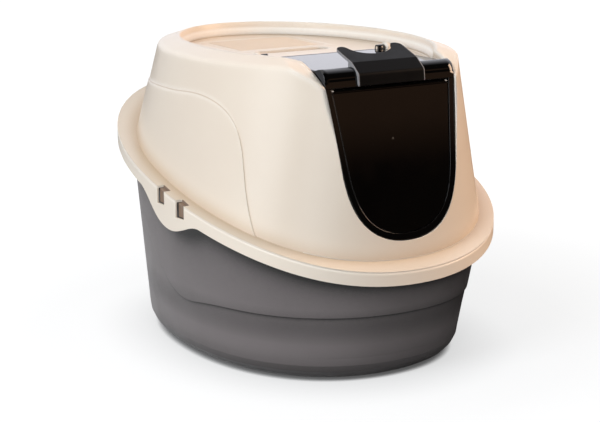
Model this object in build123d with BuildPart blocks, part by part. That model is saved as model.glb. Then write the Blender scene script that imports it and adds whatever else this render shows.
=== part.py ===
from build123d import *
from math import cos, radians, sin, tan
import os

os.makedirs("parts", exist_ok=True)

# Cat litter box with a flip-top hood. Millimetres, +Z up, front towards -Y,
# origin at the middle of the footprint on the floor.

# Walls and clearances
hood_wall = 2.5
tray_wall = 2.8
seat_gap = 0.3
door_gap = 1.2
channel_gap = 0.5
flap_gap = 1.2
hinge_clearance = 0.05

# Brim: plan outline and the wavy height of its lower edge along the length
brim_half_width = 225.0
brim_half_length = 270.0
brim_front_power = 2.35
brim_back_power = 2.55
brim_curve_beyond = 30.0
brim_front_height = 117.0
brim_front_pull = 222.3
brim_back_pull = 202.7
brim_back_height = 324.8
skirt_depth = 18.0
skirt_wall = 2.5

# Hood: lower and upper plan ovals of the wall, crest of the roof ring
hood_base_drop = 17.0
hood_side_spread = 46.0
hood_front_spread = 12.0
hood_back_spread = 41.0
hood_base_front_power = 2.4
hood_base_back_power = 3.2
shoulder_side_inset = 46.0
shoulder_end_inset = 30.0
shoulder_radius = 10.0
shoulder_steps = 4
crest_height = 403.0
crest_rise = 9.0
crest_inset = 28.0
crest_width = 2.0
brow_radius = 120.0
brow_setback = 88.5

# Roof recess behind the door
recess_depth = 19.0
recess_draft = 4.0
roof_thickness = 2.5

# Raised panel on each side of the hood
side_panel_rise = 1.3
side_panel_drop = 47.0
side_panel_bend_y = -67.0

# Side tabs with their windows and the snap fingers behind them
tab_middle_y = -30.0
tab_half_length = 68.0
tab_roundness = 1.7
tab_drop = 27.0
window_pitch = 45.0
window_width = 18.0
window_height = 19.5
window_reach = 9.0
finger_width = 13.0
finger_wall = 2.4
finger_setback = 3.0
finger_hold = 2.0
finger_bite = 0.5
finger_end_gap = 1.5
window_shift = 10.0

# Door opening and the plane of the door front
door_lean = 12.65
door_setback = 40.0
door_top_drop = 17.0
door_half_width_top = 98.5
door_half_width_low = 85.5
door_arc_drop = 117.0
door_drop = 210.0
door_cut_depth = 22.0
channel_run = 100.0

# Flip door
panel_thickness = 3.0
panel_floor_gap = 1.5
panel_length = 156.0
header_radius = 14.0
header_front_step = 2.0
header_top_drop = 11.0
header_depth = 22.0
header_slope_run = 12.0
header_end_depth = 9.0
header_wall = 2.6
frame_bar = 8.0
frame_depth = 10.0
frame_overlap = 8.0
hinge_setback = 3.4
hinge_pin_radius = 2.0
hinge_knuckle_radius = 4.4
hinge_knuckle_length = 11.0
hinge_post_width = 6.0
hinge_post_length = 14.0
hinge_side_gap = 0.8

# Swing flap
flap_thickness = 2.5
flap_setback = 1.0
flap_barrel_radius = 4.0
flap_axis_drop = 6.0
flap_pin_radius = 2.0
flap_pin_grip = 7.0

# Thumb grip on the header
grip_half_width = 49.0
grip_wall = 2.6
grip_front_wall = 3.0
grip_bend_drop = 7.0
grip_crease_run = 13.0
grip_crease_rise = 5.5
grip_flange_run = 39.0
grip_flange_rise = 14.0
grip_foot_length = 7.0
grip_corner = 9.0
grip_ear_radius = 6.5
grip_notch_width = 66.0
grip_notch_depth = 22.0

# Filter cover, filter and the finger trough in front of the cover
cover_half_width = 74.0
cover_length = 108.0
cover_back_inset = 50.0
cover_corner = 14.0
cover_thickness = 2.5
cover_gap = 0.6
cover_rib_height = 0.8
cover_rib_width = 2.4
cover_rib_count = 17
cover_slit_width = 0.9
filter_thickness = 8.0
filter_gap = 1.0
pocket_depth = 13.5
pocket_shelf = 5.0
vent_width = 6.0
vent_count = 6
trough_half_length = 56.0
trough_width = 22.0
trough_setback = 24.0
trough_depth = 7.0

# Tray
tray_floor_height = 32.0
tray_side_inset = 37.1
tray_front_inset = 39.2
tray_back_inset = 10.2
tray_power = 2.2
tray_side_flare = 0.113
tray_front_flare = 0.26
tray_back_flare = 0.0
tray_top_margin = 5.2
tray_bottom_radius = 30.0
tray_bottom_steps = 5
rim_height = 6.0
rim_skirt_gap = 4.0
skin_rise = 1.8
skin_line_height = 88.0
skin_back_y = 67.0
finger_room = 1.2

# Values that follow from the ones above
lean = radians(door_lean)
outside = 2 * brim_half_length
brim_curve_reach = brim_half_length + brim_curve_beyond
shoulder_height = crest_height - crest_rise
shoulder_half_width = brim_half_width - shoulder_side_inset
shoulder_half_length = brim_half_length - shoulder_end_inset
hood_base_height = brim_front_height - hood_base_drop
hood_base_half_width = shoulder_half_width + hood_side_spread
hood_base_front = shoulder_half_length + hood_front_spread
hood_base_back = shoulder_half_length + hood_back_spread
crest_half_width = shoulder_half_width - crest_inset
crest_half_length = shoulder_half_length - crest_inset
brow_centre_y = brow_setback - crest_half_length
side_panel_top_height = shoulder_height - side_panel_drop
door_top_y = door_setback - shoulder_half_length
door_top_height = crest_height - door_top_drop
header_front_y = door_top_y - header_front_step
header_top_height = crest_height - header_top_drop
header_low_height = header_top_height - header_depth
header_low_y = header_front_y - (header_depth - header_radius) * tan(lean)
flap_axis_height = header_low_height - flap_axis_drop
panel_back_y = door_top_y + panel_length
door_hinge_y = panel_back_y - hinge_setback
grip_bend_y = header_front_y - grip_front_wall
grip_bend_height = header_top_height - grip_bend_drop
grip_crease_y = header_front_y + grip_crease_run
grip_crease_height = header_top_height + grip_crease_rise
grip_tip_y = grip_crease_y + grip_flange_run
grip_tip_height = grip_crease_height + grip_flange_rise
recess_floor = crest_height - recess_depth
roof_under = recess_floor - roof_thickness
recess_half_width = crest_half_width - crest_width
recess_half_length = crest_half_length - crest_width
ledge_under = skirt_depth - hood_wall
brow_centre_z = crest_height - brow_radius
panel_top = recess_floor + panel_floor_gap + panel_thickness
door_plane = Plane(
    origin=(0, door_top_y, door_top_height),
    x_dir=(1, 0, 0),
    z_dir=(0, -cos(lean), sin(lean)),
)
door_hinge_height = panel_top - panel_thickness + hinge_knuckle_radius
window_middle_y = tab_middle_y - window_shift
window_places = (window_middle_y - window_pitch / 2, window_middle_y + window_pitch / 2)
cover_back_y = crest_half_length - cover_back_inset
cover_front_y = cover_back_y - cover_length
cover_middle_y = (cover_front_y + cover_back_y) / 2
trough_middle_y = cover_front_y - trough_setback
vent_pitch = (cover_length - 2 * pocket_shelf) / (vent_count + 0.5)
rib_pitch = (cover_length - 2 * pocket_shelf - 6) / cover_rib_count
vent_length = 2 * (cover_half_width - pocket_shelf - 8)
frame_top = frame_overlap - (door_top_height - header_low_height) / cos(lean)
flap_axis_y = (
    door_top_y
    - (door_top_height - flap_axis_height) * tan(lean)
    + (flap_setback + flap_barrel_radius) / cos(lean)
)
flap_inset = door_gap + frame_bar + flap_gap
flap_top = -(door_top_height - flap_axis_height) / cos(lean)
door_slope = (door_half_width_top - door_half_width_low) / door_arc_drop
axis_half_width = door_half_width_top + door_slope * flap_top
header_drop = (door_top_height - header_low_height) / cos(lean)
header_half_width = door_half_width_top - door_gap - door_slope * header_drop
knuckle_middle_x = header_half_width - hinge_knuckle_length / 2
post_middle_x = header_half_width + hinge_side_gap + hinge_post_width / 2
flap_barrel_half_length = axis_half_width - flap_inset
rim_top = ledge_under - seat_gap
channel_half_width = door_half_width_top + channel_gap
band_low = brim_front_height / 2
band_high = crest_height - recess_depth
brim_oval = (brim_half_width, brim_half_length, brim_half_length, brim_front_power, brim_back_power)
hood_low = (
    hood_base_height,
    hood_base_half_width,
    hood_base_front,
    hood_base_back,
    hood_base_front_power,
    hood_base_back_power,
)
hood_edge = (shoulder_height, shoulder_half_width, shoulder_half_length, shoulder_half_length, 2, 2)
hood_crest = (crest_height, crest_half_width, crest_half_length, crest_half_length, 2, 2)
recess_high = (crest_height, recess_half_width, recess_half_length, recess_half_length, 2, 2)
tray_floor_half_width = brim_half_width - tray_side_inset
tray_floor_front = brim_half_length - tray_front_inset
tray_floor_back = brim_half_length - tray_back_inset
tray_top_height = brim_back_height + tray_top_margin
tray_rise = tray_top_height - tray_floor_height
tray_low = (
    tray_floor_height,
    tray_floor_half_width,
    tray_floor_front,
    tray_floor_back,
    tray_power,
    tray_power,
)
tray_high = (
    tray_top_height,
    tray_floor_half_width + tray_side_flare * tray_rise,
    tray_floor_front + tray_front_flare * tray_rise,
    tray_floor_back + tray_back_flare * tray_rise,
    tray_power,
    tray_power,
)


def oval_wire(half_width, front, back, front_power, back_power):
    """Closed oval of four curves in the open line builder: front towards -Y, back towards +Y."""
    for side, reach, power in ((1, back, back_power), (-1, front, front_power)):
        pull = (2 ** (-1 / power) - 0.5) / 0.375
        for hand in (1, -1):
            Bezier(
                (hand * half_width, 0),
                (hand * half_width, side * pull * reach),
                (hand * pull * half_width, side * reach),
                (0, side * reach),
            )


def oval_block(shape, low, high):
    """Upright body with an oval plan between two heights."""
    with BuildPart() as body:
        with BuildSketch(Plane.XY.offset(low)):
            with BuildLine():
                oval_wire(*shape)
            make_face()
        extrude(amount=high - low)
    return body.part


def oval_loft(*sections):
    """Body through ovals, each given as (height, width, front, back, front power, back power)."""
    with BuildPart() as body:
        for height, *shape in sections:
            with BuildSketch(Plane.XY.offset(height)):
                with BuildLine():
                    oval_wire(*shape)
                make_face()
        loft(ruled=True)
    return body.part


def shrink(section, inset, rise=0.0):
    """The same oval drawn in by inset and moved up by rise."""
    height, width, front, back, front_power, back_power = section
    return (height + rise, width - inset, front - inset, back - inset, front_power, back_power)


def brim_height(along):
    """Height of the brim's lower edge at a place along the length."""
    share = (along + brim_curve_reach) / (2 * brim_curve_reach)
    rest = 1 - share
    return (
        rest ** 3 * brim_front_height
        + 3 * rest ** 2 * share * brim_front_pull
        + 3 * rest * share ** 2 * brim_back_pull
        + share ** 3 * brim_back_height
    )


def brim_reach(along):
    """Half width of the brim's plan at a place along the length."""
    power = brim_front_power if along < 0 else brim_back_power
    return brim_half_width * (1 - abs(along / brim_half_length) ** power) ** (1 / power)


def brim_line(shift):
    """Control points of the wavy brim line in the side view, moved up by shift."""
    third = brim_curve_reach / 3
    return [
        (-brim_curve_reach, brim_front_height + shift),
        (-third, brim_front_pull + shift),
        (third, brim_back_pull + shift),
        (brim_curve_reach, brim_back_height + shift),
    ]


def wavy_band(low_shift, high_shift):
    """Body across the full width, between the brim line moved by two shifts."""
    low = brim_line(low_shift)
    high = brim_line(high_shift)
    front = -2 * brim_curve_reach
    with BuildPart() as body:
        with BuildSketch(Plane.YZ):
            with BuildLine():
                Bezier(*low)
                Polyline(low[-1], (-front, low[-1][1]), (-front, high[-1][1]), high[-1])
                Bezier(*high)
                Polyline(high[0], (front, high[0][1]), (front, low[0][1]), low[0])
            make_face()
        extrude(amount=2 * brim_half_width, both=True)
    return body.part


def door_outline(inset, top, setback=0.0):
    """U outline of the door opening, drawn in by inset and set back from the door plane."""
    slope = door_slope
    top_width = door_half_width_top - inset + slope * top
    low_width = door_half_width_low - inset
    with BuildSketch(door_plane.offset(-setback)) as outline:
        with BuildLine():
            Line((top_width, top), (-top_width, top))
            Line((-top_width, top), (-low_width, -door_arc_drop))
            Spline(
                (-low_width, -door_arc_drop),
                (0, inset - door_drop),
                tangents=[(slope, -1), (1, 0)],
                tangent_scalars=[1.35, 1.35],
            )
            Spline(
                (0, inset - door_drop),
                (low_width, -door_arc_drop),
                tangents=[(1, 0), (slope, 1)],
                tangent_scalars=[1.35, 1.35],
            )
            Line((low_width, -door_arc_drop), (top_width, top))
        make_face()
    return outline.sketch


def hood_body(inset):
    """Outside of the hood with its rounded shoulder, drawn in by inset all round."""
    turn = shoulder_radius / 2
    crest_slope = crest_rise / crest_inset
    wall_slope = hood_side_spread / (shoulder_height - hood_base_height)
    rings = []
    for step in range(shoulder_steps + 1):
        share = step / shoulder_steps
        before = turn * (1 - share) ** 2
        after = turn * share ** 2
        draw = inset - before * wall_slope + after
        rise = after * crest_slope - before - inset * share
        rings.append(shrink(hood_edge, draw, rise))
    return oval_loft(shrink(hood_low, inset), *rings, shrink(hood_crest, inset, -inset))


def brow_cut(radius):
    """Everything in front of and above the rounded brow of the hood."""
    top = brow_centre_z + radius
    front = brow_centre_y - radius
    with BuildPart() as body:
        with BuildSketch(Plane.YZ):
            with BuildLine():
                RadiusArc((front, brow_centre_z), (brow_centre_y, top), radius)
                Line((brow_centre_y, top), (brow_centre_y, top + 100))
                Line((brow_centre_y, top + 100), (front - 100, top + 100))
                Line((front - 100, top + 100), (front - 100, brow_centre_z))
                Line((front - 100, brow_centre_z), (front, brow_centre_z))
            make_face()
        extrude(amount=2 * brim_half_width, both=True)
    return body.part


def panel_region():
    """Side view of the raised panel that wraps the back and ends on each side."""
    top = side_panel_top_height
    bend = side_panel_bend_y
    steps = ((0, 0), (33, 13), (55, 37), (68, 72), (79, 112), (93, 149), (118, 197))
    with BuildSketch(Plane.YZ) as region:
        with BuildLine():
            curve = Spline(
                (bend + 107, top),
                *[(bend - run, top - drop) for run, drop in steps],
                tangents=[(-1, 0), (-0.5, -1)],
            )
            end = curve @ 1
            Polyline(end, (end.X, 0), (outside, 0), (outside, top - 20), curve @ 0)
        make_face()
    return region.sketch


recess_low = shrink(recess_high, recess_draft, -recess_depth)

# Raised side panel, as the part of a slightly larger hood inside its outline
with BuildPart() as side_panel:
    add(hood_body(-side_panel_rise))
    extrude(panel_region(), amount=2 * brim_half_width, both=True, mode=Mode.INTERSECT)

# Brim with the hanging side tabs, still solid
with BuildPart() as brim:
    add(oval_block(brim_oval, band_low, band_high))
    low = brim_line(0)
    high = brim_line(skirt_depth)
    lobe = []
    for step in (-1, -0.8, -0.55, -0.25, 0.25, 0.55, 0.8, 1):
        place = tab_middle_y + step * tab_half_length
        lobe.append((place, brim_height(place) - tab_drop * (1 - step ** 2) ** tab_roundness))
    with BuildSketch(Plane.YZ):
        with BuildLine():
            Bezier(*low)
            Line(low[-1], high[-1])
            Bezier(*high)
            Line(high[0], low[0])
        make_face()
        with BuildLine():
            Spline(*lobe)
            Polyline(lobe[-1], (lobe[-1][0], lobe[-1][1] + 8), (lobe[0][0], lobe[0][1] + 8), lobe[0])
        make_face()
    extrude(amount=2 * brim_half_width, both=True, mode=Mode.INTERSECT)

# Room under the ledge, inside the skirt
with BuildPart() as brim_room:
    add(oval_block(shrink((0, *brim_oval), skirt_wall)[1:], band_low, band_high))
    add(wavy_band(-200, ledge_under), mode=Mode.INTERSECT)

# Room inside the hood, leaving the roof pan, door channel, filter pocket and trough
with BuildPart() as room:
    add(hood_body(hood_wall))
    add(brow_cut(brow_radius - hood_wall), mode=Mode.SUBTRACT)
    add(
        oval_loft(shrink(recess_low, -hood_wall, -roof_thickness), shrink(recess_high, -hood_wall, 30)),
        mode=Mode.SUBTRACT,
    )
    with Locations((0, door_top_y, roof_under + 50)):
        Box(2 * (channel_half_width + hood_wall), 2 * channel_run, 100, mode=Mode.SUBTRACT)
    with Locations((0, cover_middle_y, recess_floor - pocket_depth - roof_thickness + 20)):
        Box(2 * (cover_half_width + hood_wall), cover_length + 2 * hood_wall, 40, mode=Mode.SUBTRACT)
    with BuildSketch(Plane.XY.offset(recess_floor - trough_depth - roof_thickness)):
        with Locations((0, trough_middle_y)):
            SlotOverall(2 * (trough_half_length + hood_wall), trough_width + 2 * hood_wall)
    extrude(amount=40, mode=Mode.SUBTRACT)

# Sunken roof pan and the channel the door lies in
with BuildPart() as cuts:
    add(oval_loft(recess_low, shrink(recess_high, 0, 0.2)))
    with Locations((0, door_top_y, recess_floor + 50)):
        Box(2 * channel_half_width, 2 * channel_run, 100)

# Filter pocket with its shelf and air slots, and the finger trough
with BuildPart() as pocket:
    with BuildSketch(Plane.XY.offset(recess_floor + 5)):
        with Locations((0, cover_middle_y)):
            RectangleRounded(2 * cover_half_width, cover_length, cover_corner)
    extrude(amount=-cover_thickness - 5)
    with BuildSketch(Plane.XY.offset(recess_floor)):
        with Locations((0, cover_middle_y)):
            RectangleRounded(
                2 * (cover_half_width - pocket_shelf),
                cover_length - 2 * pocket_shelf,
                cover_corner - pocket_shelf,
            )
    extrude(amount=-pocket_depth)
    with BuildSketch(Plane.XY.offset(recess_floor - 4)):
        with Locations((0, cover_middle_y)):
            with GridLocations(0, vent_pitch, 1, vent_count):
                Rectangle(vent_length, vent_width)
    extrude(amount=-2 * pocket_depth)
    with BuildSketch(Plane.XY.offset(recess_floor + 5)):
        with Locations((0, trough_middle_y)):
            SlotOverall(2 * trough_half_length, trough_width)
    extrude(amount=-trough_depth - 5)

# Two posts that hold the door hinge pins
with BuildPart() as posts:
    for side in (-1, 1):
        with BuildSketch(Plane.YZ.offset(side * post_middle_x - hinge_post_width / 2)):
            with Locations((door_hinge_y, door_hinge_height)):
                Circle(hinge_post_length / 2)
            with Locations((door_hinge_y, (door_hinge_height + recess_floor - 1) / 2)):
                Rectangle(hinge_post_length, door_hinge_height - recess_floor + 1)
            with Locations((door_hinge_y, recess_floor - 11)):
                Rectangle(hinge_post_length * 2, 20, mode=Mode.SUBTRACT)
            with Locations((door_hinge_y, door_hinge_height)):
                Circle(hinge_pin_radius, mode=Mode.SUBTRACT)
        extrude(amount=hinge_post_width)

# Windows that turn over the edge of the ledge
with BuildPart() as windows:
    for place in window_places:
        sill = brim_height(place) + skirt_depth - window_height
        for side in (-1, 1):
            with Locations((side * (brim_reach(place) - window_reach + 20), place, sill + 30)):
                Box(40, window_width, 60)

# Snap fingers: a strip held under the ledge that bends down behind each window
with BuildPart() as finger_roots:
    for place in window_places:
        outer = brim_reach(place) - finger_setback
        inner = brim_reach(place) - window_reach - finger_hold
        for side in (-1, 1):
            with Locations((side * (inner + outer) / 2, place, brim_height(place))):
                Box(outer - inner, finger_width, 2 * window_height + 2 * skirt_depth)
    add(wavy_band(ledge_under - finger_wall, ledge_under + finger_bite), mode=Mode.INTERSECT)
with BuildPart() as fingers:
    for place in window_places:
        outer = brim_reach(place) - finger_setback
        low = brim_height(place) + skirt_depth - window_height + finger_end_gap
        for side in (-1, 1):
            with Locations((side * (outer - finger_wall / 2), place, low + window_height)):
                Box(finger_wall, finger_width, 2 * window_height)
    add(wavy_band(-outside, ledge_under), mode=Mode.INTERSECT)
    add(finger_roots.part)

with BuildPart() as hood:
    add(hood_body(0), clean=False)
    extrude(panel_region(), amount=2 * brim_half_width, both=True, mode=Mode.SUBTRACT, clean=False)
    add(side_panel.part, clean=False)
    add(brow_cut(brow_radius), mode=Mode.SUBTRACT, clean=False)
    add(wavy_band(-400, ledge_under), mode=Mode.SUBTRACT, clean=False)
    add(brim.part, clean=False)
    add(brim_room.part, mode=Mode.SUBTRACT, clean=False)
    add(room.part, mode=Mode.SUBTRACT, clean=False)
    add(cuts.part, mode=Mode.SUBTRACT, clean=False)
    add(pocket.part, mode=Mode.SUBTRACT, clean=False)
    add(posts.part, clean=False)
    extrude(door_outline(0, 60), amount=80, mode=Mode.SUBTRACT, clean=False)
    extrude(door_outline(0, 60), amount=-door_cut_depth, mode=Mode.SUBTRACT, clean=False)
    add(windows.part, mode=Mode.SUBTRACT, clean=False)
    add(fingers.part, clean=False)
hood.part.label = "hood"
export_step(hood.part, "parts/hood.step")

# Flip door: panel in the recess, rounded header, U frame and hinge knuckles
with BuildPart() as flip_door:
    front = header_front_y
    inner_front = front + header_wall
    low_y = header_low_y
    low_z = header_low_height
    arc_y = front + header_radius
    arc_z = header_top_height - header_radius
    top_z = header_top_height
    slope_y = arc_y + header_slope_run
    panel_under = panel_top - panel_thickness
    with BuildSketch(Plane.YZ):
        with BuildLine():
            Line((low_y, low_z), (front, arc_z))
            RadiusArc((front, arc_z), (arc_y, top_z), header_radius)
            Polyline(
                (arc_y, top_z),
                (slope_y, panel_top),
                (panel_back_y, panel_top),
                (panel_back_y, panel_under),
                (slope_y - header_wall, panel_under),
                (arc_y, top_z - header_wall),
            )
            RadiusArc((arc_y, top_z - header_wall), (inner_front, arc_z), header_wall - header_radius)
            Polyline((inner_front, arc_z), (low_y + header_wall, low_z), (low_y, low_z))
        make_face()
    extrude(amount=header_half_width, both=True)
    # End walls of the header
    for side in (-1, 1):
        with BuildSketch(Plane.YZ.offset(side * (header_half_width - header_wall / 2))):
            with BuildLine():
                Line((low_y, low_z), (front, arc_z))
                RadiusArc((front, arc_z), (arc_y, top_z), header_radius)
                Polyline(
                    (arc_y, top_z),
                    (slope_y - header_wall, panel_under + panel_thickness / 2),
                    (low_y + header_end_depth, low_z),
                    (low_y, low_z),
                )
            make_face()
        extrude(amount=header_wall / 2, both=True)
    # U frame
    frame_face = door_outline(door_gap, frame_top) - door_outline(door_gap + frame_bar, frame_top + 50)
    extrude(frame_face, amount=-frame_depth)
    # Holes for the flap pins
    with BuildSketch(Plane.YZ):
        with Locations((flap_axis_y, flap_axis_height)):
            Circle(flap_pin_radius)
    extrude(amount=2 * brim_half_width, both=True, mode=Mode.SUBTRACT)
    # Hinge knuckles
    for side in (-1, 1):
        with BuildSketch(Plane.YZ.offset(side * knuckle_middle_x - hinge_knuckle_length / 2)):
            with Locations((door_hinge_y, door_hinge_height)):
                Circle(hinge_knuckle_radius)
        extrude(amount=hinge_knuckle_length)
    with BuildSketch(Plane.YZ):
        with Locations((door_hinge_y, door_hinge_height)):
            Circle(hinge_pin_radius + hinge_clearance)
    extrude(amount=2 * brim_half_width, both=True, mode=Mode.SUBTRACT)
flip_door.part.label = "flip_door"
export_step(flip_door.part, "parts/flip_door.step")

# Swing flap: plate with a barrel along its top edge
with BuildPart() as swing_flap:
    extrude(door_outline(flap_inset, flap_top, flap_setback), amount=-flap_thickness)
    with BuildSketch(Plane.YZ):
        with Locations((flap_axis_y, flap_axis_height)):
            Circle(flap_barrel_radius)
    extrude(amount=flap_barrel_half_length, both=True)
    with BuildSketch(Plane.YZ):
        with Locations((flap_axis_y, flap_axis_height)):
            Circle(flap_pin_radius + hinge_clearance)
    extrude(amount=2 * brim_half_width, both=True, mode=Mode.SUBTRACT)
swing_flap.part.label = "swing_flap"
export_step(swing_flap.part, "parts/swing_flap.step")

# Pins of the flap, pressed into the frame, and of the door, pressed into the posts
for side, name in ((-1, "left"), (1, "right")):
    with BuildPart() as flap_pin:
        with BuildSketch(Plane.YZ.offset(side * (axis_half_width - door_gap - 0.4))):
            with Locations((flap_axis_y, flap_axis_height)):
                Circle(flap_pin_radius)
        extrude(amount=-side * (frame_bar + flap_gap + flap_pin_grip))
    flap_pin.part.label = "flap_pin_" + name
    export_step(flap_pin.part, "parts/flap_pin_" + name + ".step")
    with BuildPart() as hinge_pin:
        with BuildSketch(Plane.YZ.offset(side * (post_middle_x + hinge_post_width / 2))):
            with Locations((door_hinge_y, door_hinge_height)):
                Circle(hinge_pin_radius)
        extrude(amount=-side * (hinge_post_width + hinge_side_gap + hinge_knuckle_length))
    hinge_pin.part.label = "door_hinge_pin_" + name
    export_step(hinge_pin.part, "parts/door_hinge_pin_" + name + ".step")

# Thumb grip: seated on the header, with two ears and a hollow between them
with BuildPart() as door_handle:
    with BuildSketch(Plane.YZ) as grip_side:
        with BuildLine():
            climb = grip_flange_rise / grip_flange_run
            foot_y = grip_crease_y + grip_foot_length
            Polyline(
                (header_low_y - grip_front_wall, header_low_height + 0.5),
                (grip_bend_y, grip_bend_height),
                (grip_crease_y, grip_crease_height),
                (grip_tip_y, grip_tip_height),
                (grip_tip_y + 0.8, grip_tip_height - grip_wall),
                (foot_y, grip_crease_height - grip_wall + climb * (foot_y - grip_crease_y)),
                (foot_y, panel_top - 2),
                (header_front_y + 5, header_top_height - header_radius),
                (header_front_y + 2, header_low_height + 0.5),
                close=True,
            )
        make_face()
        fillet(grip_side.vertices().sort_by_distance(Vertex(grip_bend_y, grip_bend_height, 0))[0], 6)
        fillet(grip_side.vertices().sort_by_distance(Vertex(grip_crease_y, grip_crease_height, 0))[0], 4)
    extrude(amount=grip_half_width, both=True)
    with BuildSketch(Plane.XY.offset(grip_tip_height + 10)) as grip_plan:
        with Locations((0, grip_tip_y - 60)):
            RectangleRounded(2 * grip_half_width, 120, grip_corner)
        with Locations((0, grip_tip_y)):
            Ellipse(grip_notch_width / 2, grip_notch_depth, mode=Mode.SUBTRACT)
        tips = grip_plan.vertices().group_by(Axis.Y)[-1]
        notch_ends = tips.filter_by_position(Axis.X, -grip_notch_width / 2 - 1, grip_notch_width / 2 + 1)
        fillet(notch_ends, grip_ear_radius)
    extrude(amount=-100, mode=Mode.INTERSECT)
    with BuildSketch(Plane.YZ):
        with BuildLine():
            Line((low_y, low_z), (front, arc_z))
            RadiusArc((front, arc_z), (arc_y, top_z), header_radius)
            Polyline((arc_y, top_z), (slope_y, panel_top), (slope_y, low_z), (low_y, low_z))
        make_face()
    extrude(amount=2 * grip_half_width, both=True, mode=Mode.SUBTRACT)
door_handle.part.label = "door_handle"
export_step(door_handle.part, "parts/door_handle.step")

# Filter cover with ribs and air slits, and the filter pad in the pocket
with BuildPart() as filter_cover:
    with BuildSketch(Plane.XY.offset(recess_floor)):
        with Locations((0, cover_middle_y)):
            RectangleRounded(
                2 * (cover_half_width - cover_gap),
                cover_length - 2 * cover_gap,
                cover_corner - cover_gap,
            )
    extrude(amount=-cover_thickness)
    with BuildSketch(Plane.XY.offset(recess_floor)):
        with Locations((0, cover_middle_y)):
            with GridLocations(0, rib_pitch, 1, cover_rib_count):
                Rectangle(vent_length, cover_rib_width)
    extrude(amount=cover_rib_height)
    with BuildSketch(Plane.XY.offset(recess_floor)):
        with Locations((0, cover_middle_y)):
            with GridLocations(0, rib_pitch, 1, cover_rib_count - 1):
                Rectangle(vent_length, cover_slit_width)
    extrude(amount=-cover_thickness, mode=Mode.SUBTRACT)
filter_cover.part.label = "filter_cover"
export_step(filter_cover.part, "parts/filter_cover.step")

with BuildPart() as carbon_filter:
    with BuildSketch(Plane.XY.offset(recess_floor - pocket_depth)):
        with Locations((0, cover_middle_y)):
            RectangleRounded(
                2 * (cover_half_width - pocket_shelf - filter_gap),
                cover_length - 2 * (pocket_shelf + filter_gap),
                cover_corner - pocket_shelf - filter_gap,
            )
    extrude(amount=filter_thickness)
carbon_filter.part.label = "carbon_filter"
export_step(carbon_filter.part, "parts/carbon_filter.step")

def tray_foot(inset, rise):
    """Rounded bottom of the tray, drawn in by inset and with its bottom moved up by rise."""
    rings = []
    for step in range(tray_bottom_steps + 1):
        angle = radians(90 * step / tray_bottom_steps)
        draw = tray_bottom_radius * (1 - sin(angle))
        height = tray_floor_height * (1 - cos(angle)) + rise * cos(angle)
        rings.append((height, *shrink(tray_low, inset + draw)[1:]))
    return oval_loft(*rings)


def skin_region():
    """Side view of the thicker upper skin of the tray, above its stepped line."""
    with BuildSketch(Plane.YZ) as region:
        with BuildLine():
            curve = Spline(
                (skin_back_y + 25, skin_line_height + 172),
                (skin_back_y, skin_line_height + 50),
                (skin_back_y - 32, skin_line_height + 19),
                (skin_back_y - 57, skin_line_height + 1),
                (skin_back_y - 80, skin_line_height - 7),
                (skin_back_y - 130, skin_line_height - 4),
                (skin_back_y - 210, skin_line_height),
                (-outside, skin_line_height + 4),
            )
            Polyline(curve @ 1, (-outside, crest_height), (skin_back_y + 25, crest_height), curve @ 0)
        make_face()
    return region.sketch


# Thicker upper skin of the tray and the rim that carries the hood
with BuildPart() as tray_skin:
    add(oval_loft(shrink(tray_low, -skin_rise), shrink(tray_high, -skin_rise)))
    extrude(skin_region(), amount=2 * brim_half_width, both=True, mode=Mode.INTERSECT)

with BuildPart() as tray_rim:
    add(oval_block(shrink((0, *brim_oval), skirt_wall + rim_skirt_gap)[1:], band_low, band_high))
    add(wavy_band(rim_top - rim_height, rim_top + 20), mode=Mode.INTERSECT)

# Notches in the rim that leave room for the hood's snap fingers
with BuildPart() as notches:
    for place in window_places:
        inner = brim_reach(place) - window_reach - finger_hold - finger_room
        for side in (-1, 1):
            with Locations((side * (inner + 20), place, brim_height(place))):
                Box(40, finger_width + 2 * finger_room, 80)

# Tray
with BuildPart() as tray:
    add(oval_loft(tray_low, tray_high))
    extrude(skin_region(), amount=2 * brim_half_width, both=True, mode=Mode.SUBTRACT)
    add(tray_skin.part, clean=False)
    add(tray_foot(0, 0), clean=False)
    add(tray_rim.part, clean=False)
    add(wavy_band(rim_top, 400), mode=Mode.SUBTRACT, clean=False)
    add(oval_loft(shrink(tray_low, tray_wall), shrink(tray_high, tray_wall)), mode=Mode.SUBTRACT, clean=False)
    add(tray_foot(tray_wall, tray_wall), mode=Mode.SUBTRACT, clean=False)
    add(notches.part, mode=Mode.SUBTRACT, clean=False)
tray.part.label = "tray"
export_step(tray.part, "parts/tray.step")
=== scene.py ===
import math

import bpy
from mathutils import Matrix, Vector


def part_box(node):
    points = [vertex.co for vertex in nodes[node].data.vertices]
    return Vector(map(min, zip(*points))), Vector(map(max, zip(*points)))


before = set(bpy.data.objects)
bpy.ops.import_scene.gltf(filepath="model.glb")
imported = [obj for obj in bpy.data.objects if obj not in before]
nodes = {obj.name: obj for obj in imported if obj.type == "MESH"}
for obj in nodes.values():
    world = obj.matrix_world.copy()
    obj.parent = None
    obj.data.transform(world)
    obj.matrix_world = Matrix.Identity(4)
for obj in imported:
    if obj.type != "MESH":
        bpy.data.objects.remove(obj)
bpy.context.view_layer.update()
scene = bpy.context.scene


def srgb(red, green, blue):
    """Linear colour of an 8-bit screen colour."""
    out = []
    for value in (red, green, blue):
        share = value / 255
        out.append(share / 12.92 if share <= 0.04045 else ((share + 0.055) / 1.055) ** 2.4)
    return (*out, 1.0)


# Lengths are in metres. The front is -Y and up is +Z.

# The brim's lower edge, whose height is a cubic in the share of its length, and the skirt up to the
# ledge
BRIM_LENGTH = 0.600
BRIM_CUBIC = (0.2666, -0.3747, 0.3159, 0.1170)
SKIRT_HEIGHT = 0.0180

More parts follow.
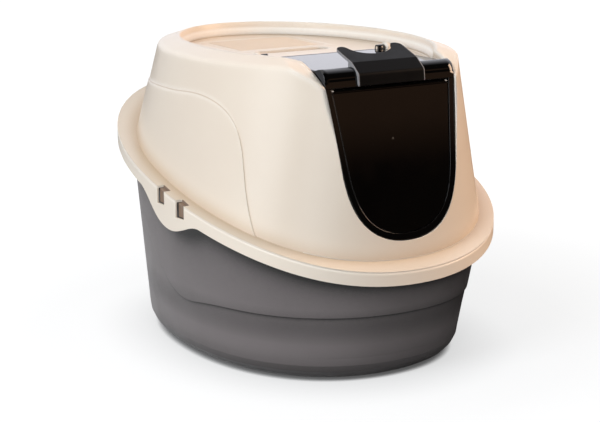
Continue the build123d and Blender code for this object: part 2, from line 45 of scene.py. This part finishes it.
# Half sizes of the strip of painted shade behind a side window, and the middle of each strip at the
# +X side
WINDOW_REACH = (0.0040, 0.0084, 0.0125)
WINDOW_MIDDLES = ((0.2154, -0.0625, 0.2085), (0.2183, -0.0175, 0.2190))

# Marks on the flap: the moulding's gate, and painted glints at the pivots at both upper corners
GATE_MIDDLE = (-0.0056, -0.2172, 0.3046)
GATE_RADIUS = 0.0017
PIVOT_MIDDLES = ((-0.0846, -0.2020, 0.3674), (0.0846, -0.2020, 0.3674))
PIVOT_RADIUS = 0.0022

# Plastic: grain depth, how fine the sheen varies, and how far an edge takes the painted highlight
GRAIN_DEPTH = 0.0004
SHEEN_SCALE = 34.0
HIGHLIGHT_REACH = 1.5

# Direction of a rounded bar end: it turns outwards with X from a slope between front and top
END_TURN = (7.5, 0.0, 0.0)
END_SLOPE = (0.0, -0.62, 0.50)
UPWARD = (0.0, 0.0, 1.0)

CREAM = srgb(228, 216, 200)
CREAM_DRIFT = srgb(226, 213, 197)
# Painted light and shade: crease shade, edge highlight, ledge shade, skirt light, window shade,
# pivot glints
CREAM_CREASE_SHADE = srgb(186, 158, 126)
CREAM_EDGE_HIGHLIGHT = srgb(250, 246, 238)
LEDGE_PAINTED_SHADE = srgb(188, 167, 140)
SKIRT_PAINTED_LIGHT = srgb(244, 233, 218)
WINDOW_PAINTED_SHADE = srgb(128, 104, 85)
PIVOT_PAINTED_GLINT = srgb(205, 204, 202)


class Tree:
    """Adds nodes and links to one node tree."""

    def __init__(self, tree):
        self.tree = tree
        tree.nodes.clear()

    def add(self, kind, **values):
        node = self.tree.nodes.new(kind)
        for name, value in values.items():
            setattr(node, name, value)
        return node

    def link(self, source, target):
        self.tree.links.new(source, target)

    def feed(self, target, value):
        """Set a socket to a number, colour or vector, or link another socket to it."""
        if isinstance(value, (tuple, float)):
            target.default_value = value
        else:
            self.link(value, target)

    def noise(self, vector, scale, detail=4.0, rough=0.55):
        node = self.add("ShaderNodeTexNoise")
        node.inputs["Scale"].default_value = scale
        node.inputs["Detail"].default_value = detail
        node.inputs["Roughness"].default_value = rough
        self.link(vector, node.inputs["Vector"])
        return node.outputs["Fac"]

    def spread(self, value, low, high, start=0.3, end=0.7):
        """Low to high while value goes from start to end, and held outside."""
        node = self.add("ShaderNodeMapRange")
        node.inputs["From Min"].default_value = start
        node.inputs["From Max"].default_value = end
        node.inputs["To Min"].default_value = low
        node.inputs["To Max"].default_value = high
        self.link(value, node.inputs["Value"])
        return node.outputs["Result"]

    def mix_of(self, kind, suffix, share, first, second):
        node = self.add("ShaderNodeMix", data_type=kind)
        sockets = {socket.identifier: socket for socket in node.inputs}
        self.feed(sockets["Factor_Float"], share)
        self.feed(sockets["A_" + suffix], first)
        self.feed(sockets["B_" + suffix], second)
        return next(s for s in node.outputs if s.identifier == "Result_" + suffix)

    def mix(self, share, first, second):
        """Colour between first and second."""
        return self.mix_of("RGBA", "Color", share, first, second)

    def blend(self, share, first, second):
        """Vector between first and second."""
        return self.mix_of("VECTOR", "Vector", share, first, second)

    def maths(self, operation, *parts):
        node = self.add("ShaderNodeMath", operation=operation)
        for socket, part in zip(node.inputs, parts):
            self.feed(socket, part)
        return node.outputs["Value"]

    def times(self, first, second):
        return self.maths("MULTIPLY", first, second)

    def size_of(self, value):
        return self.maths("ABSOLUTE", value)

    def near(self, value, middle, reach):
        """One where value lies within reach of middle, else zero."""
        return self.maths("COMPARE", value, middle, reach)

    def sum_of(self, value, factor, more):
        """value times factor plus more."""
        return self.maths("MULTIPLY_ADD", value, factor, more)

    def vector_maths(self, operation, *parts):
        node = self.add("ShaderNodeVectorMath", operation=operation)
        for socket, part in zip(node.inputs, parts):
            self.feed(socket, part)
        return node.outputs

    def split(self, vector):
        """The vector's X, Y and Z."""
        node = self.add("ShaderNodeSeparateXYZ")
        self.link(vector, node.inputs["Vector"])
        return node.outputs

    def openness(self, distance, alone=False, samples=8):
        """One on free faces, less in corners. alone leaves other pieces out."""
        node = self.add("ShaderNodeAmbientOcclusion", only_local=alone, samples=samples)
        node.inputs["Distance"].default_value = distance
        return node.outputs["AO"]

    def bump(self, height, strength, distance, normal):
        node = self.add("ShaderNodeBump")
        node.inputs["Strength"].default_value = strength
        node.inputs["Distance"].default_value = distance
        self.link(height, node.inputs["Height"])
        self.link(normal, node.inputs["Normal"])
        return node.outputs["Normal"]


def plastic(
    name,
    colour,
    drift,
    rough,
    rough_spread,
    grain,
    edge,
    grain_scale=1500.0,
    patch_scale=9.0,
    shine=0.5,
    crease_shade=None,
    edge_highlight=None,
    marks=(),
    sharp_under=False,
    lip=None,
    ends=None,
    crown=None,
):
    """Moulded plastic: slight colour drift, uneven sheen, fine grain and softened edges.

    The crease shade is painted shade in inner corners, given with its depth and whether the piece
    counts alone, the edge highlight a painted highlight along outer edges, marks are toned places,
    some of them painted light or shade, sharp_under keeps lower edges unsoftened, lip is a place
    where an outer edge rolls over to the top and takes the edge highlight, ends are places where
    a bar turns to its rounded end, and crown gives the heights between which edges grow rounder,
    with the radius that they reach.
    """
    material = bpy.data.materials.new(name)
    material.use_nodes = True
    t = Tree(material.node_tree)
    place = t.add("ShaderNodeTexCoord").outputs["Object"]
    true_normal = t.add("ShaderNodeNewGeometry").outputs["Normal"]
    shader = t.add("ShaderNodeBsdfPrincipled")
    shader.inputs["Specular IOR Level"].default_value = shine

    soft_edge = t.add("ShaderNodeBevel", samples=8)
    soft_edge.inputs["Radius"].default_value = edge
    if crown is not None:
        start, end, roll = crown
        radius = t.spread(t.split(place)["Z"], low=edge, high=roll, start=start, end=end)
        t.link(radius, soft_edge.inputs["Radius"])
    normal = soft_edge.outputs["Normal"]
    if sharp_under:
        soft_share = t.spread(t.split(normal)["Z"], low=0.0, high=1.0, start=-0.08, end=-0.02)
        normal = t.blend(soft_share, true_normal, normal)

    base = t.mix(t.spread(t.noise(place, patch_scale), low=0.0, high=1.0), colour, drift)
    # Painted shade in inner corners, where ambient occlusion mixes in the crease colour
    if crease_shade is not None:
        shade_tone, depth, alone = crease_shade
        free = t.spread(t.openness(depth, alone), low=0.0, high=1.0, start=0.40, end=1.0)
        base = t.mix(free, shade_tone, base)
    # Painted highlight along outer edges, where the softened normal turns from the true one
    if edge_highlight is not None:
        turned = t.vector_maths("DOT_PRODUCT", normal, true_normal)["Value"]
        bent = t.spread(turned, low=0.85, high=0.0, start=0.86, end=0.995)
        free = t.openness(HIGHLIGHT_REACH * edge, alone=True)
        outer = t.spread(free, low=0.0, high=1.0, start=0.80, end=0.97)
        base = t.mix(t.times(bent, outer), base, edge_highlight)
    # The lip's normal rolls over to the top, and it takes the painted edge highlight
    if lip is not None:
        rolled = lip(t, place, true_normal)
        normal = t.blend(rolled, normal, UPWARD)
        base = t.mix(rolled, base, edge_highlight)
    if ends is not None:
        outward = t.vector_maths("MULTIPLY_ADD", place, END_TURN, END_SLOPE)["Vector"]
        normal = t.blend(ends(t, place, true_normal), normal, outward)
    for shape, tone in marks:
        base = t.mix(shape(t, place, true_normal), base, tone)
    t.link(base, shader.inputs["Base Color"])

    sheen = t.noise(place, SHEEN_SCALE)
    sheen = t.spread(sheen, low=rough - rough_spread, high=rough + rough_spread)
    t.link(sheen, shader.inputs["Roughness"])
    fine = t.noise(place, grain_scale, detail=2.0)
    t.link(t.bump(fine, grain, GRAIN_DEPTH, normal), shader.inputs["Normal"])
    out = t.add("ShaderNodeOutputMaterial")
    t.link(shader.outputs["BSDF"], out.inputs["Surface"])
    return material


# Places on the pieces, each a share from zero to one


def window_shade(middle):
    """Painted shade on the strip behind one pair of side windows."""

    def shape(t, place, normal):
        parts = t.split(place)
        across = t.near(t.size_of(parts["X"]), middle[0], WINDOW_REACH[0])
        along = t.near(parts["Y"], middle[1], WINDOW_REACH[1])
        upright = t.near(parts["Z"], middle[2], WINDOW_REACH[2])
        return t.times(t.times(across, along), upright)

    return shape


def ledge_painted_shade(t, place, normal):
    """Painted shade on the upward face of the brim, a shallow gutter that takes less light."""
    facing = t.spread(t.split(normal)["Z"], low=0.0, high=0.75, start=0.55, end=0.85)
    free = t.openness(0.016, alone=True)
    inner = t.spread(free, low=1.0, high=0.35, start=0.50, end=0.98)
    below_roof = t.spread(t.split(place)["Z"], low=1.0, high=0.0, start=0.32, end=0.34)
    return t.times(t.times(facing, inner), below_roof)


def skirt_depth(t, place, normal):
    """Depth below the ledge, and one on upright faces."""
    parts = t.split(place)
    upright = t.near(t.split(normal)["Z"], middle=0.0, reach=0.12)
    cubed, squared, plain, start = BRIM_CUBIC
    share = t.sum_of(parts["Y"], 1 / BRIM_LENGTH, 0.5)
    ledge = t.sum_of(share, cubed, squared)
    ledge = t.sum_of(ledge, share, plain)
    ledge = t.sum_of(ledge, share, start + SKIRT_HEIGHT)
    depth = t.sum_of(parts["Z"], -1.0, ledge)
    return depth, upright


def brim_lip(t, place, normal):
    """The top few millimetres of the skirt, which roll over to the ledge and take the painted edge
    highlight.
    """
    depth, upright = skirt_depth(t, place, normal)
    rolled = t.spread(depth, low=0.75, high=0.0, start=0.0005, end=0.0045)
    return t.times(t.times(rolled, upright), t.near(depth, middle=0.0020, reach=0.0028))


def skirt_painted_light(t, place, normal):
    """Painted light on the skirt and its side tabs, which makes them the palest faces of the hood.
    """
    depth, upright = skirt_depth(t, place, normal)
    band = t.near(depth, middle=0.030, reach=0.031)
    return t.times(upright, t.spread(band, low=0.0, high=0.7, start=0.0, end=1.0))


def under_brim(t, place, normal):
    """The band of the tray that lies in the shade of the hood's skirt."""
    free = t.openness(0.10, samples=16)
    shade = t.spread(free, low=1.0, high=0.0, start=0.83, end=1.0)
    return t.times(shade, t.spread(t.split(place)["Z"], low=0.0, high=1.0, start=0.05, end=0.09))


def near_floor(t, place, normal):
    """Painted shade on the foot of the tray, darker towards the floor."""
    free = t.openness(0.045)
    shade = t.spread(free, low=0.8, high=0.0, start=0.40, end=1.0)
    return t.times(shade, t.spread(t.split(place)["Z"], low=1.0, high=0.0, start=0.03, end=0.05))


def dot_at(middle, radius):
    """A small round mark, used for the moulding's gate and for painted glints at the pivots."""

    def shape(t, place, normal):
        away = t.vector_maths("DISTANCE", place, middle)["Value"]
        return t.spread(away, low=1.0, high=0.0, start=0.6 * radius, end=radius)

    return shape


def side_edge_highlight(half_width, reach):
    """Painted highlight along the edges of a piece at both sides."""

    def shape(t, place, normal):
        side = t.size_of(t.split(place)["X"])
        start = half_width - reach
        return t.spread(side, low=0.0, high=0.8, start=start, end=half_width - 0.3 * reach)

    return shape


def header_ends(t, place, normal):
    """The last few millimetres of the door's header at both sides, which are rounded."""
    parts = t.split(place)
    near_end = t.spread(t.size_of(parts["X"]), low=0.0, high=0.62, start=0.0885, end=0.0950)
    return t.times(near_end, t.spread(parts["Z"], low=0.0, high=1.0, start=0.374, end=0.378))


hood_plastic = plastic(
    "hood_plastic",
    CREAM,
    CREAM_DRIFT,
    rough=0.34,
    rough_spread=0.03,
    grain=0.04,
    edge=0.0012,
    # Painted shade in inner corners, on the ledge and behind the windows, painted highlight on
    # outer edges and the lip, and painted light on the skirt
    crease_shade=(CREAM_CREASE_SHADE, 0.022, True),
    edge_highlight=CREAM_EDGE_HIGHLIGHT,
    sharp_under=True,
    lip=brim_lip,
    crown=(0.31, 0.35, 0.010),
    marks=(
        (ledge_painted_shade, LEDGE_PAINTED_SHADE),
        (skirt_painted_light, SKIRT_PAINTED_LIGHT),
        *((window_shade(middle), WINDOW_PAINTED_SHADE) for middle in WINDOW_MIDDLES),
    ),
)
cover_plastic = plastic(
    "cover_plastic",
    CREAM,
    CREAM_DRIFT,
    rough=0.38,
    rough_spread=0.03,
    grain=0.04,
    edge=0.0003,
)
tray_plastic = plastic(
    "tray_plastic",
    srgb(120, 114, 114),
    srgb(116, 110, 110),
    rough=0.38,
    rough_spread=0.04,
    grain=0.06,
    edge=0.0008,
    # Painted shade in the tray's inner corners, under the hood's skirt and towards the floor
    crease_shade=(srgb(18, 16, 15), 0.007, True),
    marks=((under_brim, srgb(14, 12, 11)), (near_floor, srgb(24, 20, 18))),
)
door_plastic = plastic(
    "door_plastic",
    srgb(5, 5, 5),
    srgb(7, 6, 6),
    rough=0.05,
    rough_spread=0.012,
    grain=0.003,
    edge=0.0008,
    ends=header_ends,
)
flap_plastic = plastic(
    "flap_plastic",
    srgb(4, 3, 3),
    srgb(6, 5, 4),
    rough=0.07,
    rough_spread=0.02,
    grain=0.003,
    edge=0.0006,
    marks=(
        (dot_at(GATE_MIDDLE, GATE_RADIUS), srgb(70, 66, 62)),
        # Painted glints at the pivots at the flap's upper corners
        *((dot_at(middle, PIVOT_RADIUS), PIVOT_PAINTED_GLINT) for middle in PIVOT_MIDDLES),
    ),
)
grip_plastic = plastic(
    "grip_plastic",
    srgb(10, 10, 11),
    srgb(12, 12, 12),
    rough=0.42,
    rough_spread=0.05,
    grain=0.05,
    edge=0.0010,
    shine=0.06,
    # Painted highlight along the grip's side edges
    marks=((side_edge_highlight(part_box("door_handle")[1][0], 0.0016), srgb(150, 150, 153)),),
)
pin_plastic = plastic(
    "pin_plastic",
    srgb(60, 58, 57),
    srgb(70, 68, 66),
    rough=0.30,
    rough_spread=0.05,
    grain=0.05,
    edge=0.0003,
)
hinge_pin_plastic = plastic(
    "hinge_pin_plastic",
    srgb(222, 209, 192),
    srgb(218, 204, 187),
    rough=0.30,
    rough_spread=0.05,
    grain=0.05,
    edge=0.0003,
)
filter_foam = plastic(
    "filter_foam",
    srgb(38, 37, 37),
    srgb(52, 50, 49),
    rough=0.90,
    rough_spread=0.05,
    grain=0.9,
    edge=0.0004,
    grain_scale=420.0,
    patch_scale=260.0,
)

looks = {
    "hood": hood_plastic,
    "filter_cover": cover_plastic,
    "tray": tray_plastic,
    "flip_door": door_plastic,
    "swing_flap": flap_plastic,
    "door_handle": grip_plastic,
    "flap_pin_left": pin_plastic,
    "flap_pin_right": pin_plastic,
    "door_hinge_pin_left": hinge_pin_plastic,
    "door_hinge_pin_right": hinge_pin_plastic,
    "carbon_filter": filter_foam,
}
for name, material in looks.items():
    mesh = nodes[name].data
    mesh.materials.clear()
    mesh.materials.append(material)


def floor_look():
    """White with a soft shadow to the camera, dull to all other light."""
    material = bpy.data.materials.new("studio_floor")
    material.use_nodes = True
    t = Tree(material.node_tree)
    place = t.add("ShaderNodeTexCoord").outputs["Object"]
    path = t.add("ShaderNodeLightPath").outputs

    # What lights the object from below, and what shiny faces see: a pale left and a dark right
    thrown_back = t.add("ShaderNodeBsdfDiffuse")
    dull = t.mix(t.noise(place, 3.0), srgb(130, 128, 126), srgb(127, 125, 123))
    to_right = t.spread(t.split(place)["X"], low=0.0, high=1.0, start=-0.10, end=0.30)
    mirrored = t.mix(to_right, srgb(248, 248, 248), srgb(60, 56, 54))
    t.link(t.mix(path["Is Glossy Ray"], dull, mirrored), thrown_back.inputs["Color"])

    # What the camera sees: the lamps' shadow, and a glow that is dimmer beside and under the
    # object,
    #     a painted shadow there
    shadowed = t.add("ShaderNodeBsdfDiffuse")
    shadowed.inputs["Color"].default_value = (0.25, 0.253, 0.256, 1)
    glow = t.add("ShaderNodeEmission")
    glow.inputs["Color"].default_value = (1.0, 1.0, 1.0, 1)
    away = t.vector_maths("LENGTH", place)["Value"]
    around = t.spread(away, low=0.80, high=1.0, start=0.38, end=1.1)
    beside = t.openness(0.09, samples=12)
    beside = t.spread(beside, low=0.80, high=1.0, start=0.40, end=0.98)
    contact = t.openness(0.009, samples=12)
    contact = t.spread(contact, low=0.12, high=1.0, start=0.25, end=0.90)
    t.link(t.times(around, t.times(contact, beside)), glow.inputs["Strength"])
    seen = t.add("ShaderNodeAddShader")
    t.link(shadowed.outputs["BSDF"], seen.inputs[0])
    t.link(glow.outputs["Emission"], seen.inputs[1])

    pick = t.add("ShaderNodeMixShader")
    t.link(path["Is Camera Ray"], pick.inputs["Fac"])
    t.link(thrown_back.outputs["BSDF"], pick.inputs[1])
    t.link(seen.outputs["Shader"], pick.inputs[2])
    out = t.add("ShaderNodeOutputMaterial")
    t.link(pick.outputs["Shader"], out.inputs["Surface"])
    return material


# The floor lies a hair below the object
bpy.ops.mesh.primitive_plane_add(size=60, location=(0, 0, -0.0004))
floor = bpy.context.object
floor.name = "studio_floor"
floor.data.materials.append(floor_look())


def room_light():
    """Soft room: bright behind and above, dim and warm in front, and white to the camera."""
    strength = 0.75
    white = (1.333, 1.333, 1.333, 1)
    warm_front = (0.10, 0.07, 0.05, 1)
    cool_back = (0.42, 0.43, 0.45, 1)
    ceiling = (0.42, 0.42, 0.42, 1)
    dark_front = (0.012, 0.011, 0.010, 1)
    brown_glow = (0.36, 0.20, 0.12, 1)
    pale_wall = (1.78, 1.78, 1.92, 1)

    world = bpy.data.worlds.new("studio")
    scene.world = world
    world.use_nodes = True
    t = Tree(world.node_tree)
    way = t.split(t.add("ShaderNodeTexCoord").outputs["Generated"])
    path = t.add("ShaderNodeLightPath").outputs

    to_back = t.spread(way["Y"], low=0.0, high=1.0, start=-0.35, end=0.55)
    room = t.mix(to_back, warm_front, cool_back)
    upward = t.spread(way["Z"], low=0.0, high=1.0, start=0.25, end=0.8)
    room = t.mix(upward, room, ceiling)

    # What shiny faces see: a pale wall behind, and in front a dark room with a brown band, which
    # starts higher on the left
    tilted = t.sum_of(way["X"], 0.12, way["Z"])
    above_band = t.spread(tilted, low=0.0, high=1.0, start=0.228, end=0.256)
    below_top = t.spread(way["Z"], low=1.0, high=0.0, start=0.26, end=0.40)
    front = t.mix(t.times(above_band, below_top), dark_front, brown_glow)
    behind = t.spread(way["Y"], low=0.0, high=1.0, start=-0.25, end=0.35)
    mirrored = t.mix(behind, front, pale_wall)

    back = t.add("ShaderNodeBackground")
    back.inputs["Strength"].default_value = strength
    lit = t.mix(path["Is Glossy Ray"], room, mirrored)
    t.link(t.mix(path["Is Camera Ray"], lit, white), back.inputs["Color"])
    out = t.add("ShaderNodeOutputWorld")
    t.link(back.outputs["Background"], out.inputs["Surface"])


room_light()


def softbox(name, place, aim, width, height, power, colour):
    """Rectangular area lamp aimed at a point."""
    lamp = bpy.data.lights.new(name, "AREA")
    lamp.shape = "RECTANGLE"
    lamp.size = width
    lamp.size_y = height
    lamp.energy = power
    lamp.color = colour
    item = bpy.data.objects.new(name, lamp)
    item.location = place
    item.rotation_euler = (Vector(aim) - Vector(place)).to_track_quat("-Z", "Y").to_euler()
    scene.collection.objects.link(item)
    return item


LOW_MIDDLE = (0, 0, 0.2)
UPPER_MIDDLE = (0, 0, 0.3)
COOL = (0.92, 0.96, 1.0)
PALE_COOL = (0.95, 0.97, 1.0)
PALE_WARM = (1.0, 0.97, 0.94)
WARM = (1.0, 0.69, 0.48)
softbox("key_left", (-2.1, -0.8, 2.0), LOW_MIDDLE, 1.1, 1.0, power=28, colour=COOL)
softbox("low_left", (-2.4, -0.4, 0.8), LOW_MIDDLE, 1.2, 1.0, power=17, colour=COOL)
softbox("front_left", (-1.6, -2.5, 0.85), LOW_MIDDLE, 1.8, 1.2, power=25, colour=PALE_COOL)
softbox("top", (-0.7, 0.1, 2.3), LOW_MIDDLE, 1.6, 1.6, power=10, colour=PALE_WARM)
warm_right = softbox("warm_right", (2.1, -1.0, 1.3), UPPER_MIDDLE, 1.2, 1.2, power=55, colour=WARM)
# The warm lamp is flagged off the tray and the floor
warm_side = bpy.data.collections.new("warm_side")
for name, node in nodes.items():
    if name != "tray":
        warm_side.objects.link(node)
warm_right.light_linking.receiver_collection = warm_side

# Camera, fitted to the outlines in the photograph
CAMERA_TARGET = Vector((-0.00202, 0.00613, 0.16727))
CAMERA_TURN = math.radians(-31.6)
CAMERA_TILT = math.radians(13.31)
CAMERA_DISTANCE = 2.2111
camera_data = bpy.data.cameras.new("camera")
camera_data.sensor_width = 36
camera_data.lens = 97.554
camera_data.clip_end = 200
camera = bpy.data.objects.new("camera", camera_data)
from_target = Vector((
    math.sin(CAMERA_TURN) * math.cos(CAMERA_TILT),
    -math.cos(CAMERA_TURN) * math.cos(CAMERA_TILT),
    math.sin(CAMERA_TILT),
))
camera.location = CAMERA_TARGET + CAMERA_DISTANCE * from_target
camera.rotation_euler = (-from_target).to_track_quat("-Z", "Y").to_euler()
scene.collection.objects.link(camera)
scene.camera = camera
scene.view_settings.view_transform = "Standard"
